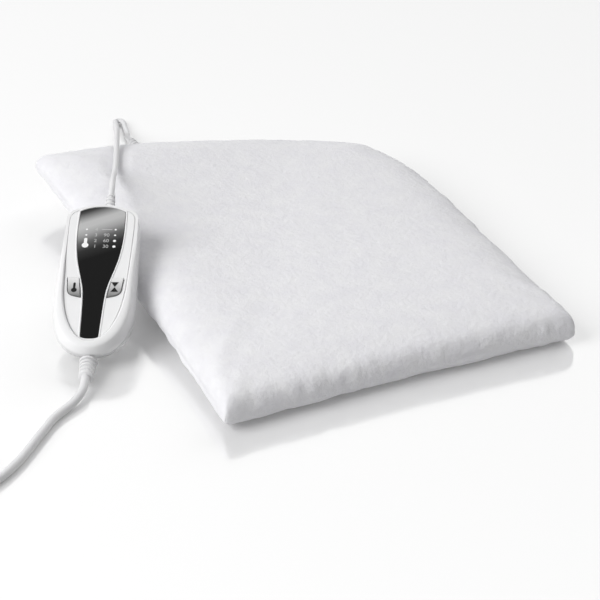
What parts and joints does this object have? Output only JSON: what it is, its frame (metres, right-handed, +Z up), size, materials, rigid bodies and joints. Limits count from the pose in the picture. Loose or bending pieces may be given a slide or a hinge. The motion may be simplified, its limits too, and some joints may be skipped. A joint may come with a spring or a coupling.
{
  "type": "heating pad with controller",
  "caption": "Soft fleece heating pad with one corner curled up and a two-button wired controller leaning on it, with its lead to the pad and a coiled mains lead with a plug.",
  "frame": {"origin": "on the flat underside of the pad, below its middle, at the surface that it rests on", "axes": "+X across the pad to its right, +Y along the pad to its back edge, +Z up"},
  "size_m": [0.6094, 0.5667, 0.0733],
  "materials": {
    "fleece": "short-pile fleece",
    "wadding": "soft wadding",
    "carrier_felt": "thin felt",
    "wire_sleeve": "smooth sleeve",
    "white_gloss": "glossy moulded",
    "white_soft": "satin flexible",
    "pale_grey": "satin moulded",
    "black_gloss": "high gloss",
    "silver_grey": "satin silver",
    "dark_plastic": "matt moulded",
    "board_green": "solder-masked board",
    "light_lens": "clear diffused lens",
    "terminal_grey": "matt moulded",
    "steel": "zinc plated",
    "nickel": "nickel plated"
  },
  "bodies": {
    "pad_and_controller": {"pad_relief": "white_soft", "pad_junction": "white_soft", "pad_cover_top": "fleece", "pad_cover_bottom": "fleece", "wadding_top": "wadding", "wadding_bottom": "wadding", "heater_carrier": "carrier_felt", "heating_wire": "wire_sleeve", "pad_lead_relief": "white_soft", "mains_relief": "white_soft", "front_shell": "white_gloss", "rear_shell": "white_gloss", "face_plate": "pale_grey", "display_panel": "black_gloss", "case_screw_1": "steel", "case_screw_2": "steel", "case_screw_3": "steel", "case_screw_4": "steel", "circuit_board": "board_green", "heat_light_1": "light_lens", "heat_light_2": "light_lens", "heat_light_3": "light_lens", "heat_light_4": "light_lens", "timer_light_1": "light_lens", "timer_light_2": "light_lens", "timer_light_3": "light_lens", "timer_light_4": "light_lens", "fuse": "light_lens", "capacitor": "silver_grey", "temperature_switch": "dark_plastic", "timer_switch": "dark_plastic", "triac": "dark_plastic", "processor": "dark_plastic", "coil_tie": "dark_plastic", "mains_terminal": "terminal_grey", "pad_terminal": "terminal_grey", "mains_conductor_1": "white_soft", "mains_conductor_2": "white_soft", "pad_conductor_1": "white_soft", "pad_conductor_2": "white_soft", "pad_cord": "white_soft", "mains_cord": "white_soft", "mains_cord_coil": "white_soft", "mains_cord_tail": "white_soft", "plug_body": "white_soft", "plug_pin_1": "nickel", "plug_pin_2": "nickel"},
    "temperature_button": {"temperature_button": "silver_grey", "temperature_plunger": "white_soft"},
    "timer_button": {"timer_button": "silver_grey", "timer_plunger": "white_soft"}
  },
  "joints": [
    {"name": "temperature_press", "type": "slide", "parent": "pad_and_controller", "child": "temperature_button", "axis": [0.1428, 0.3035, -0.9421], "range_m": [0, 0.0008], "stiffness_N_per_m": 1500, "springref_m": -0.0005},
    {"name": "timer_press", "type": "slide", "parent": "pad_and_controller", "child": "timer_button", "axis": [0.1428, 0.3035, -0.9421], "range_m": [0, 0.0008], "stiffness_N_per_m": 1500, "springref_m": -0.0005}
  ]
}
